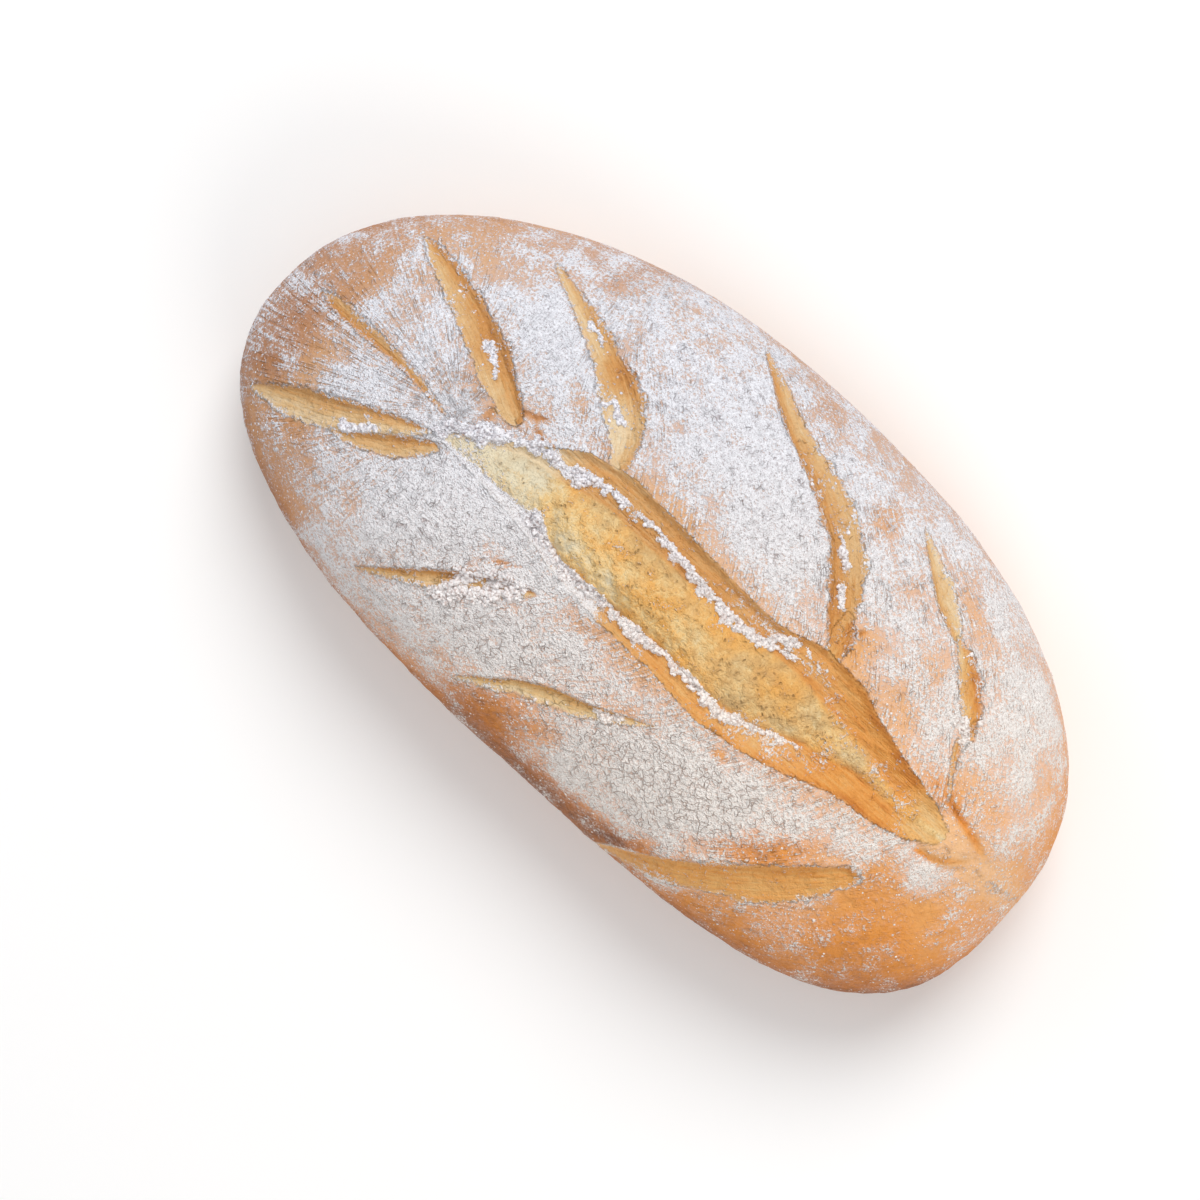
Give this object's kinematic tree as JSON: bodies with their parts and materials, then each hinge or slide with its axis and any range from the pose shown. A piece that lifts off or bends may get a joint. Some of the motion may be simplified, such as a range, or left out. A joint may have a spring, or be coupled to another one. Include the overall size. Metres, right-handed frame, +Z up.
{
  "type": "white bread loaf",
  "caption": "Floured oval white loaf with a flat underside, scored with a long slash along its back and a fan of short cuts, for resting on a table, board or shelf",
  "frame": {"origin": "Centre of the loaf's bounding box in X and Y, on the flat underside", "axes": "+X along the loaf towards its blunt end, where the long slash closes in a small knot; +Y across it; +Z up, out of the scored crust"},
  "size_m": [0.3, 0.155, 0.0862],
  "materials": {
    "crust": "matte baked crust, dusted white with flour between golden cuts"
  },
  "bodies": {
    "root": {"loaf": "crust"}
  },
  "joints": []
}
